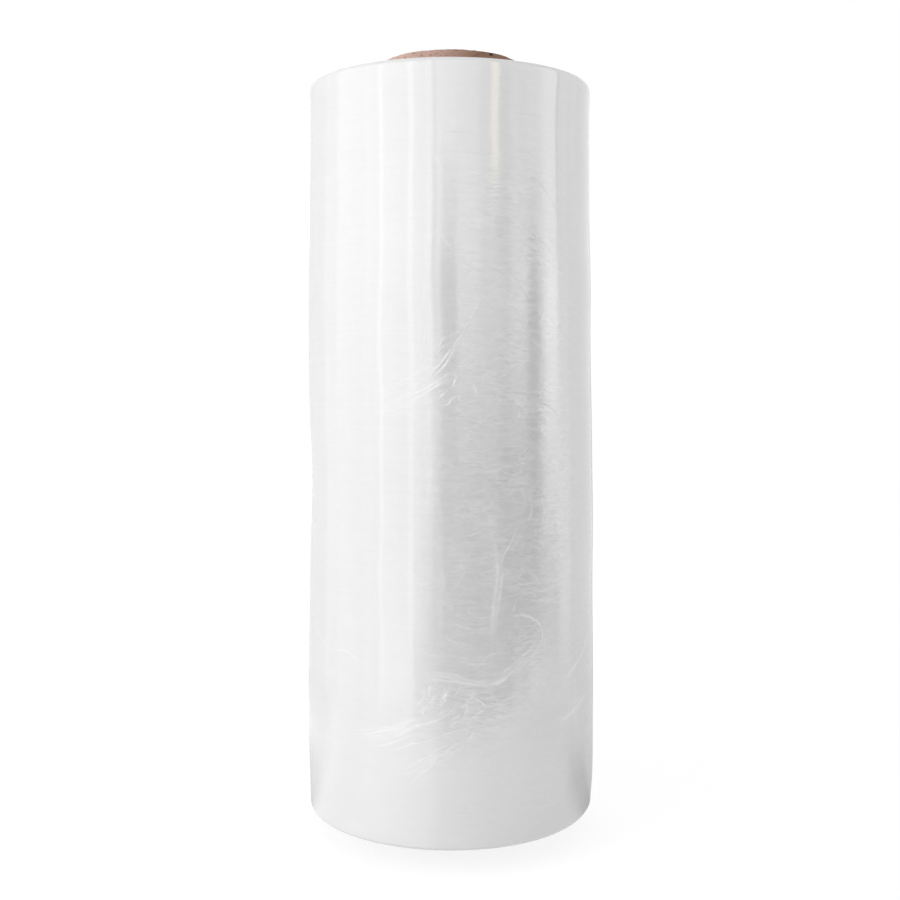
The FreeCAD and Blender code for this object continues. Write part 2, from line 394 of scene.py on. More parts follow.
# All strands as width, height and line. Creases of the back are scattered, and run down as those in front do.
def layStrands():
    chance = random.Random(film["seed"])
    strands = []
    rows = list(creases.values())
    for _ in range(film["backCreases"]):
        turn = chance.uniform(100, 258)
        up = chance.choice((chance.uniform(45, 160), chance.uniform(60, 440)))
        drop = chance.uniform(8, 26)
        reach = chance.uniform(6, 22)
        bend = chance.uniform(-4, 4)
        points = ((turn, up), (turn - reach * 0.5, up - drop * 0.5 + bend), (turn - reach, up - drop))
        rows.append((chance.uniform(0.4, 0.7), chance.uniform(0.10, 0.18), 1, points))
    for width, height, count, points in rows:
        line = creaseLine(points)
        for number in range(count):
            spread = (0.4 if number == 0 else 1.6) * width / 1000
            size = 1 if number == 0 else chance.uniform(0.5, 0.85)
            strands.append((width * size / 1000, height * size / 1000,
                            strandBeside(line, chance, spread, number == 0)))
    for count, width, height, firstPoints, secondPoints in fans.values():
        first, second = creaseLine(firstPoints), creaseLine(secondPoints)
        for number in range(count):
            line = first + (second - first) * (number + chance.uniform(0.1, 0.9)) / count
            strands.append((width / 1000, height * chance.uniform(0.4, 1) / 1000,
                            strandBeside(line, chance, width / 1000, False)))
    for count, (turn, up), (wide, high), lean, length, height in hairKnots.values():
        for _ in range(count):
            middle = (turn + chance.gauss(0, 0.5) * wide, up + chance.gauss(0, 0.5) * high)
            slope = math.radians(lean + chance.gauss(0, 16))
            half = length * chance.uniform(0.3, 0.8)
            sag = chance.uniform(-0.25, 0.25) * half
            ends = []
            for side in (-1, -0.35, 0.35, 1):
                bow = sag * (1 - side ** 2)
                across = half * side * math.cos(slope) - bow * math.sin(slope)
                rise = half * side * math.sin(slope) + bow * math.cos(slope)
                ends.append((middle[0] + math.degrees(across / 1000 / filmMiddle), middle[1] + rise))
            strands.append((film["hairWidth"], height * chance.uniform(0.5, 1) / 1000, creaseLine(ends, 4)))
    return strands


def wrapped(turn):
    return (turn + 180) % 360 - 180


# Nearest distance to a line, and how far along it that is from 0 to 1, for many places at once.
def nearLine(across, up, line):
    lengths = np.hypot(*(line[1:] - line[:-1]).T)
    total = lengths.sum()
    best = np.full(len(up), 9.0)
    along = np.zeros(len(up))
    run = 0.0
    for a, b, length in zip(line, line[1:], lengths):
        ab = b - a
        t = np.clip(((across - a[0]) * ab[0] + (up - a[1]) * ab[1]) / (length ** 2), 0, 1)
        gap = np.hypot(across - a[0] - ab[0] * t, up - a[1] - ab[1] * t)
        closer = gap < best
        best[closer] = gap[closer]
        along[closer] = (run + length * t[closer]) / total
        run += length
    return best, along


# Which places lie near a box round a line. Lines at the back may pass 180 degrees, so places are tried twice.
def placesNear(turn, up, points, reach):
    (left, bottom), (right, top) = points.min(0) - reach, points.max(0) + reach
    for shift in (0.0, 2 * math.pi * filmMiddle):
        across = np.radians(turn) * filmMiddle + shift
        near = np.flatnonzero((across > left) & (across < right) & (up > bottom) & (up < top))
        if len(near):
            yield near, across[near], up[near]


# For each strand: which places lie near it, how near, and how far along.
def eachStrand(turn, up, reachFactor, extra=0.0):
    for width, height, line in strands:
        for near, across, rise in placesNear(turn, up, line, width * reachFactor + extra):
            gap, along = nearLine(across, rise, line)
            yield near, gap, along, width, height


# Height of the creases over the barrel, and how far the outer turn is lifted off the next one, or pressed on
# it where the value is below nothing.
# The film's finish colours lifted places whiter, partly as painted highlight, and pressed places darker,
# partly as painted shade.
# A crease swells and thins on its way, and dies out at both ends.
def creaseRelief(turn, up):
    relief = np.zeros(len(up))
    lifted = np.zeros(len(up))
    for near, gap, along, width, height in eachStrand(turn, up, film["creaseReach"]):
        taper = np.clip(np.minimum(along, 1 - along) / 0.35, 0, 1) ** 0.7
        knots = 0.72 + 0.28 * np.sin(along * 23 + height * 9e5) * np.sin(along * 9 + width * 5e4)
        ridge = height * taper * knots
        for total, here in ((relief, ridge * np.exp(-(gap / width) ** 2)),
                            (lifted, ridge * np.exp(-(gap / (1.2 * width)) ** 2) / film["fullLift"])):
            stronger = np.abs(here) > np.abs(total[near])
            total[near[stronger]] = here[stronger]
    return relief, np.clip(lifted, -1, 1)


def bell(x, middle, reach):
    return np.exp(-((x - middle) / reach) ** 2)


def patches(turn, up, rows):
    total = np.zeros(len(up))
    for middle, height, wide, reach, amount in rows:
        total += amount * bell(wrapped(turn - middle), 0, wide) * bell(up, height, reach)
    return total


# Long low waves of the wound turns: whole numbers of waves round the film, so that they meet at the back.
def slackWaves(turn, up):
    chance = random.Random(film["seed"] + 1)
    total = np.zeros(len(up))
    for _ in range(film["waves"]):
        waves = chance.randint(1, 9)
        length = chance.uniform(0.06, 0.25)
        phase = chance.uniform(0, 2 * math.pi)
        lean = chance.choice((-1, 1))
        total += chance.uniform(*film["waveHeights"]) * np.sin(
            np.radians(turn) * waves + lean * up * 2 * math.pi / length + phase)
    return total


# A faint unevenness everywhere, and more of it where the turns lie slack.
def smallFolds(points, slack):
    folds = np.zeros(len(points))
    for i, (x, y, z) in enumerate(points):
        place = Vector((x * 40, y * 40, z * 60 + x * 14))
        folds[i] = (film["unevenness"] + film["slackUnevenness"] * slack[i]) * noise.noise(place)
    return folds


# The free end lies as one step down the back: the outer turn rises to it all the way round.
def tailEdge(up):
    return film["tailAngle"] + 2.5 * np.sin(up * 9) + 0.8 * np.sin(up * 31)


def tailRelief(turn, up):
    behind = (turn - tailEdge(up)) % 360
    rise = behind / 360
    fall = np.clip(1 - behind / 0.45, 0, 1)
    return film["tailStep"] * (rise + fall * (1 - rise))


def filmRadius(up):
    heights, radii = np.array(film["outline"]).T
    span = np.clip(np.searchsorted(heights, up, side="right") - 1, 0, len(heights) - 2)
    share = np.clip((up - heights[span]) / (heights[span + 1] - heights[span]), 0, 1)
    ease = (1 - np.cos(np.pi * share)) / 2
    return radii[span] + (radii[span + 1] - radii[span]) * ease


# How far the web strays up or down across one end, from the core out to the last turns.
def webWander(share):
    bands = np.arange(film["turnBands"] + 1)
    coarse = film["webWander"] * np.sin(np.radians(film["bandSwing"] * bands))
    coarse[-1] = 0
    chance = random.Random(film["seed"] + 2)
    fine = [chance.uniform(-1, 1) * film["fineWander"] for _ in range(film["fineTurns"])] + [0]
    step = np.minimum((share * film["fineTurns"]).astype(int), film["fineTurns"])
    return np.interp(share, bands / film["turnBands"], coarse) + np.array(fine)[step]


# The film's section as radius, height and zone: 0 for an end, 1 for a soft edge, 2 for the barrel.
def filmSection():
    rounding = film["edgeRounding"]
    land = rounding + film["outerLand"]
    inner = coreRadius + film["coreClearance"]
    rings = 2 * film["fineTurns"]

    def end(height, outer):
        steps = [ring // 2 + (0.82 if ring % 2 else 0) for ring in range(rings)]
        shares = np.array([step / film["fineTurns"] for step in steps])
        radii = inner + (outer - land - inner) * shares
        levels = height + webWander(shares)
        return [(r, z, 0) for r, z in zip(radii, levels)] + [(outer - land, height, 0)]

    def softEdge(height, outer, upward):
        angles = [math.radians(a) for a in (0, 15, 30, 45, 60, 75)]
        return [
            (outer - rounding + rounding * math.sin(a), height + upward * rounding * (1 - math.cos(a)), 1)
            for a in angles
        ]

    footOuter = float(filmRadius(np.array([rounding]))[0])
    headOuter = float(filmRadius(np.array([film["width"] - rounding]))[0])
    count = round((film["width"] - 2 * rounding) / film["rowHeight"])
    ups = np.linspace(rounding, film["width"] - rounding, count + 1)
    foot = end(filmFoot, footOuter) + softEdge(filmFoot, footOuter, 1)
    head = end(filmHead, headOuter) + softEdge(filmHead, headOuter, -1)
    barrel = [(r, filmFoot + up, 2) for r, up in zip(filmRadius(ups), ups)]
    return foot + barrel + head[::-1]


# Turns a closed section round the axis into quads, each row turned further by its twist in degrees.
def turnSection(mesh, section, columns, twists=None):
    rows = []
    for number, (radius, height, zone) in enumerate(section):
        angles = [math.radians(turn + (twists[number] if twists else 0)) for turn in columns]
        rows.append([mesh.verts.new(onRing(radius, angle, height)) for angle in angles])
    count = len(columns)
    for number, row in enumerate(rows):
        following = rows[(number + 1) % len(rows)]
        zone = min(section[number][2], section[(number + 1) % len(rows)][2])
        for j in range(count):
            k = (j + 1) % count
            face = mesh.faces.new((row[j], row[k], following[k], following[j]))
            face.material_index = 1 if zone == 0 else 0


def polar(points):
    turn = np.degrees(np.arctan2(points[:, 0], -points[:, 1]))
    return turn, np.hypot(points[:, 0], points[:, 1]), points[:, 2] - filmFoot


def halve(mesh, wanted):
    mesh.faces.ensure_lookup_table()
    chosen = {edge for i in np.flatnonzero(wanted) for edge in mesh.faces[i].edges}
    bmesh.ops.subdivide_edges(mesh, edges=list(chosen), cuts=1, use_grid_fill=True)


def faceCentres(mesh):
    return np.array([face.calc_center_median() for face in mesh.faces])


# Halves the barrel's faces near the creases, round by round, and near the free end in all but the last.
def refineNearCreases(mesh):
    edge = film["edgeFade"]
    for reach in film["refineReaches"]:
        turn, radius, up = polar(faceCentres(mesh))
        barrel = (radius > 0.096) & (up > edge) & (up < film["width"] - edge)
        wanted = np.zeros(len(turn), bool)
        for near, gap, along, width, height in eachStrand(turn, up, 1.0, reach):
            wanted[near] |= gap < width * 0.8 + reach
        if reach != film["refineReaches"][-1]:
            wanted |= np.abs(wrapped(turn - tailEdge(up))) * math.radians(1) * filmMiddle < reach * 0.6
        halve(mesh, wanted & barrel)
    bmesh.ops.triangulate(mesh, faces=[face for face in mesh.faces if len(face.verts) > 4])


def finishMesh(mesh, name):
    bmesh.ops.recalc_face_normals(mesh, faces=mesh.faces)
    data = bpy.data.meshes.new(name)
    mesh.to_mesh(data)
    mesh.free()
    data.shade_smooth()
    piece = bpy.data.objects.new(name, data)
    bpy.context.scene.collection.objects.link(piece)
    return piece


def readPoints(data):
    flat = np.empty(len(data.vertices) * 3)
    data.vertices.foreach_get("co", flat)
    return flat.reshape(-1, 3)


def addAttribute(data, name, values):
    attribute = data.attributes.new(name, "FLOAT", "POINT")
    attribute.data.foreach_set("value", np.asarray(values, dtype=np.float32))


strands = layStrands()


def makeFilmRoll():
    mesh = bmesh.new()
    columns = np.arange(film["columns"]) * 360 / film["columns"]
    turnSection(mesh, filmSection(), columns)
    refineNearCreases(mesh)
    piece = finishMesh(mesh, "filmWound")
    data = piece.data

    points = readPoints(data)
    turn, radius, up = polar(points)
    inside = np.clip(up, 0, film["width"])
    trueRadius = filmRadius(inside)
    onBarrel = radius > trueRadius - film["edgeRounding"] * 1.02
    fade = np.clip(np.minimum(up, film["width"] - up) / film["edgeFade"], 0, 1)
    fade = fade * fade * (3 - 2 * fade)
    slack = np.clip(patches(turn, up, slackPatches), 0, 1) * onBarrel
    relief, lifted = creaseRelief(turn, up)
    shape = (relief + slackWaves(turn, up) + tailRelief(turn, up) + smallFolds(points, slack)) * fade
    shape += patches(turn, up, swells)
    straight = onBarrel & (np.minimum(up, film["width"] - up) > film["edgeRounding"] * 0.99)
    newRadius = np.where(straight, trueRadius, radius) + np.where(onBarrel, shape, 0)
    angle = np.radians(turn)
    outward = np.clip((radius - coreRadius) / (filmMiddle - coreRadius), 0, 1)
    points[:, 0] = newRadius * np.sin(angle) + film["lean"] * (1 - 2 * up / film["width"]) * outward
    points[:, 1] = -newRadius * np.cos(angle)
    data.vertices.foreach_set("co", points.ravel())
    data.update()

    addAttribute(data, "lifted", np.maximum(lifted, 0) * fade)
    addAttribute(data, "pressed", np.maximum(-lifted, 0) * fade)
    addAttribute(data, "slack", slack)
    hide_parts("film_roll")
    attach(piece, "root")
    data.calc_loop_triangles()
    print("film wound:", len(data.loop_triangles), "triangles")
    return piece


filmFinish = {
    "colour": (0.805, 0.805, 0.805, 1),
    "shadeColour": (0.785, 0.785, 0.787, 1),
    # Partly painted highlight: the lifted colour is whiter for the air under a lifted turn and for the
    # crease's glint.
    "liftedWhiteAndHighlightColour": (0.95, 0.95, 0.95, 1),
    # Partly painted shade: the pressed colour darkens the grooves.
    "pressedAndShadeColour": (0.60, 0.60, 0.60, 1),
    "slackColour": (0.66, 0.66, 0.66, 1),
    # Partly painted highlight: the vein colour whitens fold lines for the film lifted in them and for their
    # glints.
    "veinWhiteAndHighlightColour": (0.93, 0.93, 0.93, 1),
    "roughness": 0.085,
    "slackRoughness": 0.04,
    "ior": 2.1,
    "scatter": 0.22,
    "scatterRadius": (0.010, 0.010, 0.010),
    "lineHeight": 0.000014,  # fine lines that run round the roll
    "bandHeight": 0.000009,
    "rippleHeight": 0.00006,
    "foldHeight": 0.00005,
    "fineFoldHeight": 0.00002,
    "veinHeight": 0.00004,
}


def makeFilmFinish():
    material, sheet = newMaterial("clearFilmMilky")
    look = filmFinish
    place = sheet.place()
    slack = sheet.attribute("slack")
    lines = sheet.noise(place, (9, 9, 1500), 2.0, 0.6)
    bands = sheet.noise(place, (6, 6, 260), 3.0, 0.6)
    wisps = sheet.noise(place, (45, 45, 420), 3.0, 0.6)
    clouds = sheet.noise(place, (30, 30, 60), 3.0, 0.6)
    ripple = sheet.noise(place, (95, 95, 170), 2.0, 0.5)
    veined = sheet.noise(place, (60, 60, 110), 2.0, 0.5, 0.6)
    folds = sheet.ridge(sheet.noise(place, (68, 68, 205), 1.5, 0.5, 0.4), 9)
    fineFolds = sheet.ridge(sheet.noise(place, (170, 170, 400), 1.5, 0.5, 0.4), 6)
    veins = sheet.ridge(veined, 13)
    broken = sheet.ramp(clouds, ((0.34, 0), (0.56, 1)))
    slackHere = slack * (broken * 0.6 + 0.4)

    height = lines * look["lineHeight"] + (bands + wisps) * look["bandHeight"] * (0.5 + slack)
    height = height + ripple * look["rippleHeight"] * (0.45 + slack * 1.4)
    height = height + folds * look["foldHeight"] * (slackHere * 0.95 + 0.05)
    height = height + (fineFolds * look["fineFoldHeight"] + veins * look["veinHeight"]) * slackHere

    shade = sheet.ramp(lines * 0.35 + wisps * 0.35 + clouds * 0.3, ((0.40, 0), (0.60, 1)))
    tight = sheet.mixColour(shade, look["shadeColour"], look["colour"])
    body = sheet.mixColour(slackHere * 0.5, tight, look["slackColour"])
    # Partly painted highlight: the fold and vein lines are coloured whiter, for the film lifted into them and
    # for the glints on them.
    veinWhiteAndHighlight = (folds * 0.30 + fineFolds * 0.24 + veins * 0.24) * slackHere
    veinedBody = sheet.mixColour(sheet.clamped(veinWhiteAndHighlight), body, look["veinWhiteAndHighlightColour"])
    # Partly painted shade: the grooves, where the outer turn is pressed on the next one, are coloured darker.
    groovedAndShaded = sheet.mixColour(sheet.attribute("pressed") * 0.8, veinedBody, look["pressedAndShadeColour"])
    # Partly painted highlight: where a crease lifts the outer turn it is coloured whiter, for the air under
    # it and for the crease's glint.
    colour = sheet.mixColour(sheet.attribute("lifted") * 0.9, groovedAndShaded, look["liftedWhiteAndHighlightColour"])
    rough = look["roughness"] + (wisps - 0.5) * 0.05 + slack * look["slackRoughness"]
    shader = sheet.node("ShaderNodeBsdfPrincipled", {"subsurface_method": "RANDOM_WALK"}, {
        "Base Color": colour,
        "Roughness": sheet.clamped(rough),
        "IOR": look["ior"],
        "Subsurface Weight": look["scatter"],
        "Subsurface Radius": look["scatterRadius"],
        "Subsurface Scale": 1.0,
        "Normal": sheet.bumped(height, 1.0),
    })
    sheet.show(shader)
    return material


filmEndFinish = {
    "colour": (0.80, 0.80, 0.79, 1),
    "shadeColour": (0.60, 0.60, 0.60, 1),
    "roughness": 0.42,
    "ringsPerMetre": 1400.0,
    "bandsPerMetre": 210.0,
    "ringHeight": 0.00006,
}


# The ends of the roll, where the edges of the turns lie side by side.
def makeFilmEndFinish():
    material, sheet = newMaterial("filmTurnEdges")
    look = filmEndFinish
    place = sheet.place()
    radius = sheet.fromAxis(place)
    rings = sheet.ringNoise(radius * look["ringsPerMetre"], 3.0)
    broad = sheet.ringNoise(radius * look["bandsPerMetre"], 2.0)
    cloud = sheet.noise(place, (22, 22, 22), 2.0, 0.5)
    mask = sheet.ramp(rings * 0.6 + broad * 0.25 + cloud * 0.15, ((0.40, 0), (0.56, 1)))
    colour = sheet.mixColour(mask, look["shadeColour"], look["colour"])
    shader = sheet.node("ShaderNodeBsdfPrincipled", {"subsurface_method": "RANDOM_WALK"}, {
        "Base Color": colour,
        "Roughness": sheet.clamped(look["roughness"] + (rings - 0.5) * 0.3),
        "IOR": 1.5,
        "Coat Weight": 0.3,
        "Coat Roughness": 0.25,
        "Subsurface Weight": 0.35,
        "Subsurface Radius": (0.006, 0.006, 0.006),
        "Subsurface Scale": 1.0,
        "Normal": sheet.bumped(rings * look["ringHeight"], 0.8),
    })
    sheet.show(shader)
    return material


# The core's mesh columns follow its ply seam, which climbs as a helix.
def coreColumns():
    half = math.degrees(coreShape["seamWidth"] / 2 / coreRadius)
    seam = [-2.2 * half, -half, -half * 0.6, half * 0.6, half, 2.2 * half]
    plain = np.linspace(2.2 * half, 360 - 2.2 * half, coreShape["columns"] - len(seam) + 2)[1:-1]
    return seam + list(plain), half


def evenly(low, high, step):
    return list(np.linspace(low, high, max(1, round((high - low) / step)) + 1))


# The core's section as radius, height and zone: 0 for the outside, 1 for a cut end, 2 for the bore.
def coreSection():
    shape = coreShape
    inner = shape["bore"] / 2
    ease = shape["edgeBreak"]
    chance = random.Random(shape["seed"])
    steps = [chance.uniform(-1, 0) * shape["plyStep"] for _ in range(shape["plies"])]
    plyEdges = np.linspace(inner + ease, coreRadius - ease, shape["plies"] + 1)

    def cutEnd(level, upward):
        ring = []
        for step, low, high in zip(steps, plyEdges, plyEdges[1:]):
            for share in (0.12, 0.88):
                ring.append((low + (high - low) * share, level + upward * step, 1))
        return ring

    shown = shape["shownLength"]
    heights = evenly(ease, shown, shape["shownRow"])
    heights += evenly(shown, coreTop - shown, shape["hiddenRow"])[1:]
    heights += evenly(coreTop - shown, coreTop - ease, shape["shownRow"])[1:]
    bore = [(inner, z, 2) for z in evenly(ease, coreTop - ease, shape["boreRow"])]
    outside = [(coreRadius, z, 0) for z in heights]
    return bore + cutEnd(coreTop, 1) + outside[::-1] + cutEnd(0.0, -1)[::-1]


# Sinks the seams into both walls and frays the upper edge a little.
def shapeWall(mesh, section, columns, half):
    shape = coreShape
    chance = random.Random(shape["seed"] + 1)
    waves = [
        (chance.randint(3, 40), chance.uniform(0, 2 * math.pi), chance.uniform(0.2, 1))
        for _ in range(12)
    ]
    mesh.verts.ensure_lookup_table()
    for number, vertex in enumerate(mesh.verts):
        row, column = divmod(number, len(columns))
        radius, height, zone = section[row]
        turn = math.atan2(vertex.co.x, -vertex.co.y)
        outward = 0.0
        if abs(columns[column]) < half * 0.8 and zone != 1:
            outward = shape["seamDepth"] * (1 if zone == 2 else -1)
        fray = sum(size * math.sin(turn * wave + phase) for wave, phase, size in waves) * shape["fray"]
        atTop = max(0.0, 1 - (coreTop - height) / shape["frayReach"])
        outward += fray * atTop * (zone == 0) * 0.4
        vertex.co += Vector(onRing(1, turn, 0)) * outward
        vertex.co.z -= abs(fray) * atTop


# Crushes the nick into the outer edge of the upper end, and marks its hollow for painted shade.
def cutNick(mesh):
    shape = coreShape
    crushed = mesh.verts.layers.float.new("crushed")
    angle = math.radians(shape["nickAngle"])
    outward = Vector(onRing(1, angle, 0))
    aside = Vector((math.cos(angle), math.sin(angle), 0))
    corner = outward * coreRadius + Vector((0, 0, coreTop))
    for reach in shape["nickRefineReaches"]:
        away = faceCentres(mesh) - np.array(corner)
        halve(mesh, np.hypot(away[:, 0], away[:, 1]) + np.abs(away[:, 2]) * 0.7 < reach)
    for vertex in mesh.verts:
        offset = vertex.co - corner
        across = abs(offset.dot(aside)) / (shape["nickWidth"] / 2)
        down = -offset.z / shape["nickHeight"]
        inward = -offset.dot(outward) / shape["nickDepth"]
        if across < 1 and down < 1 and inward < 1 and offset.dot(outward) > -0.01:
            depth = (1 - across ** 2) * (1 - max(down, 0)) ** 0.5 * shape["nickDepth"] * (1 - max(inward, 0))
            vertex.co -= outward * depth
            vertex.co.z -= depth * 0.5 * (1 - max(down, 0))
            vertex[crushed] = min(1.0, depth / shape["nickDepth"] * 4)


def makeCoreTube():
    columns, half = coreColumns()
    section = coreSection()
    twists = [360 * height / coreShape["plySeamPitch"] for _, height, _ in section]
    mesh = bmesh.new()
    turnSection(mesh, section, columns, twists)
    shapeWall(mesh, section, columns, half)
    cutNick(mesh)
    for face in mesh.faces:
        face.material_index = 0
    piece = finishMesh(mesh, "coreWound")
    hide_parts("core_tube")
    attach(piece, "root")
    piece.data.calc_loop_triangles()
    print("core wound:", len(piece.data.loop_triangles), "triangles")
    return piece


coreFinish = {
    "kraft": (0.32, 0.178, 0.115, 1),
    # Partly painted light: the pale kraft colour is laid on towards the left, where the key lamp falls, as
    # well as in random clouds of its own tone.
    "kraftPaleAndLit": (0.65, 0.445, 0.380, 1),
    "kraftDark": (0.25, 0.135, 0.090, 1),
    "greyPly": (0.34, 0.26, 0.205, 1),
    # Painted shade: the nick's hollow is coloured almost black.
    "crushed": (0.030, 0.020, 0.017, 1),
    "roughness": 0.82,
    "fibreHeight": 0.00006,
    "pliesPerMetre": 1100.0,
    "outerPly": 0.0012,
    "paintedLightToTheLeft": 13.0,
}


def makeCoreFinish():
    material, sheet = newMaterial("kraftPaperboard")
    look = coreFinish
    place = sheet.place()
    fibres = sheet.noise(place, (700, 700, 2600), 4.0, 0.7)
    flecks = sheet.noise(place, (420, 420, 900), 2.0, 0.5)
    clouds = sheet.noise(place, (26, 26, 34), 3.0, 0.55)
    radius = sheet.fromAxis(place)
    plies = sheet.ringNoise(radius * look["pliesPerMetre"], 2.0)
    depth = (coreRadius - look["outerPly"] - radius) * 3000.0  # over 1 from the second ply inward
    # Painted light: the core is coloured paler towards its left side, where the key lamp stands, mixed with
    # random pale clouds of its own tone.
    side = 0.5 - sheet.node("ShaderNodeSeparateXYZ", {}, {"Vector": place}, "X") * look["paintedLightToTheLeft"]
    paleAndLit = sheet.ramp(clouds * 0.45 + side * 0.55, ((0.40, 0), (0.74, 1)))
    body = sheet.mixColour(paleAndLit, look["kraft"], look["kraftPaleAndLit"])
    plyColour = sheet.mixColour(sheet.ramp(plies, ((0.40, 0), (0.60, 1))), look["greyPly"], look["kraft"])
    layered = sheet.mixColour(sheet.clamped(depth), body, plyColour)
    flecked = sheet.mixColour(sheet.ramp(flecks, ((0.55, 0), (0.72, 0.8))), layered, look["kraftDark"])
    # The nick's hollow is coloured almost black: painted shade.
    colour = sheet.mixColour(sheet.attribute("crushed"), flecked, look["crushed"])
    shader = sheet.node("ShaderNodeBsdfPrincipled", {}, {
        "Base Color": colour,
        "Roughness": sheet.clamped(look["roughness"] + (fibres - 0.5) * 0.2),
        "IOR": 1.45,
        "Normal": sheet.bumped(fibres * look["fibreHeight"], 0.7),
    })
    sheet.show(shader)
    return material


filmWound = makeFilmRoll()
filmWound.data.materials.append(makeFilmFinish())
filmWound.data.materials.append(makeFilmEndFinish())
coreWound = makeCoreTube()
coreWound.data.materials.append(makeCoreFinish())
print("finishes made")


# The studio: a pale table, cards that only the gloss of the film sees, soft lamps and the camera.
studio = {
    "tableSize": 6.0,
    "tableColour": (0.88, 0.88, 0.88, 1),
    "tableWhiteShare": 0.72,  # how much of the table's look, seen or mirrored, is plain white
    "tableWhite": 1.17,
    "worldFill": 0.62,
    "wallDistance": 0.50,
    "wallHeights": (0.03, 0.10, 0.22, 0.40, 0.47, 0.54),  # where each stretch of wall has its brightness
    "wallTop": 0.80,
    "cardDistance": 0.49,
    "tableRadii": (0.115, 0.20, 0.30, 0.40, 0.50),  # the same, for the stretches of table
    "paperHeight": 0.0005,
}

lamps = {
    "keySoftbox": ((-1.32, -0.82, 0.75), (1.1, 1.3), 11.5),
    "rightFill": ((1.2, -1.0, 0.60), (0.9, 1.2), 1.1),
}

# What the film mirrors: stretches of wall, from one angle to another, with the brightness at each height.
# Each stretch fades into the next one in the gap that is left between them.
wall = {
    "leftWall": (-152, -110, 0.92, 0.90, 0.92, 0.88, 0.90, 0.90),
    "leftEdge": (-107, -94, 1.10, 1.12, 1.16, 1.12, 1.15, 1.10),
    "bigSoftbox": (-89.5, -66, 1.28, 1.30, 1.28, 1.44, 1.50, 1.54),
    "bigSoftboxEdge": (-62, -52.3, 1.42, 1.42, 1.38, 1.58, 1.68, 1.68),
    "bigJoin": (-51.8, -49.2, 1.80, 1.84, 1.84, 2.08, 2.15, 2.15),
    "smallSoftbox": (-48.4, -29.9, 1.70, 1.62, 1.50, 1.68, 1.82, 1.72),
    "smallJoin": (-29.3, -26.6, 1.65, 1.90, 1.90, 2.12, 2.30, 2.25),
    "nearSoftbox": (-25.5, -22, 0.92, 1.26, 1.48, 1.75, 1.80, 1.72),
    "nearSoftboxEdge": (-19, -18, 0.75, 0.95, 1.27, 1.70, 1.77, 1.68),
    "nearJoin": (-15.2, -13.2, 0.68, 0.60, 1.45, 1.85, 2.10, 1.85),
    "boxEdge": (-11.6, -10.2, 0.45, 0.20, 0.80, 0.84, 0.78, 1.10),
    "boxLip": (-8.8, -7.6, 0.35, 0.45, 0.55, 1.05, 1.45, 1.52),
    "darkMiddle": (-4.8, 3.6, 0.10, 0.00, 0.00, 0.00, 0.45, 1.42),
    "roomNear": (5.6, 20, 0.10, 0.00, 0.12, 0.98, 1.18, 1.33),
    "roomFar": (22, 33, 0.10, 0.15, 0.28, 0.80, 0.88, 1.12),
    "doorway": (34, 41.5, 0.20, 0.00, 0.05, 0.76, 0.62, 0.95),
    "roomSide": (46, 56, 0.75, 0.00, 0.20, 1.32, 1.22, 1.30),
    "darkFlag": (60, 64.6, 1.15, 0.20, 0.00, 0.16, 0.92, 1.46),
    "reflector": (75.5, 85.5, 1.00, 0.75, 1.52, 2.42, 2.10, 2.00),
    "reflectorGap": (86.5, 88, 1.05, 1.25, 1.70, 1.62, 1.25, 0.98),
    "rightWall": (89, 98, 1.05, 1.38, 1.40, 1.36, 1.32, 1.38),
    "rightWallFar": (101, 112, 0.90, 1.02, 1.10, 1.15, 1.18, 1.25),
    "farWall": (114, 150, 0.88, 1.00, 1.02, 1.06, 1.13, 1.10),
    "backFlag": (155, 178, 0.45, 0.40, 0.35, 0.55, 0.70, 0.90),
    "backBox": (188, 202, 1.10, 1.10, 1.40, 1.70, 1.70, 1.70),
}

# Stretches of the table, in the same way, with the brightness at each radius.
tableLook = {
    "farPaper": (-146, -106, 0.65, 0.75, 1.05, 0.92, 0.85),
    "leftPaper": (-92, -66, 1.10, 1.20, 1.28, 1.25, 1.25),
    "middlePaper": (-56, -30, 1.25, 1.40, 1.45, 1.45, 1.42),
    "nearPaper": (-22, -14, 1.22, 1.32, 1.32, 1.25, 0.95),
    "bodyShade": (-6, 20, 0.95, 0.95, 1.00, 0.75, 0.35),
    "frontPaper": (34, 74, 0.90, 1.05, 1.05, 0.96, 1.00),
    "rightShade": (92, 106, 0.38, 0.38, 0.80, 1.06, 1.04),
    "rightShadeFar": (114, 146, 0.55, 0.66, 0.78, 0.80, 0.82),
    "backPaperRight": (156, 178, 0.65, 0.60, 0.45, 0.35, 0.45),
    "backPaperLeft": (188, 204, 1.20, 1.30, 1.20, 0.85, 0.85),
}


# Makes a thing glow in one colour, or as its own points say, and only for what mirrors it.
def glowForGloss(thing, name, colour=None):
    material, sheet = newMaterial(name + "Glow")
    colour = colour or sheet.attribute("glow")
    sheet.show(sheet.node("ShaderNodeEmission", {}, {"Color": colour, "Strength": 1.0}))
    thing.data.materials.append(material)
    thing.visible_camera = False
    thing.visible_diffuse = False
    thing.visible_transmission = False
    thing.visible_volume_scatter = False
    thing.visible_shadow = False


# A sheet round the roll, whose rings are given as radius and height, with a glow that each stretch sets.
def glowSheet(name, stretches, rings):
    columns = []
    for turnFrom, turnTo, *glow in stretches:
        steps = math.ceil((turnTo - turnFrom) / 4)
        columns += [(turnFrom + (turnTo - turnFrom) * step / steps, glow) for step in range(steps + 1)]
    mesh = bmesh.new()
    grid = []
    for turn, glow in columns:
        angle = math.radians(turn)
        grid.append([mesh.verts.new(onRing(radius, angle, height)) for radius, height in rings])
    for left, right in zip(grid, grid[1:] + grid[:1]):
        for a, b, c, d in zip(left, right, right[1:], left[1:]):
            mesh.faces.new((a, b, c, d))
    glowing = finishMesh(mesh, name)
    addAttribute(glowing.data, "glow", [level for turn, glow in columns for level in glow])
    glowForGloss(glowing, name)


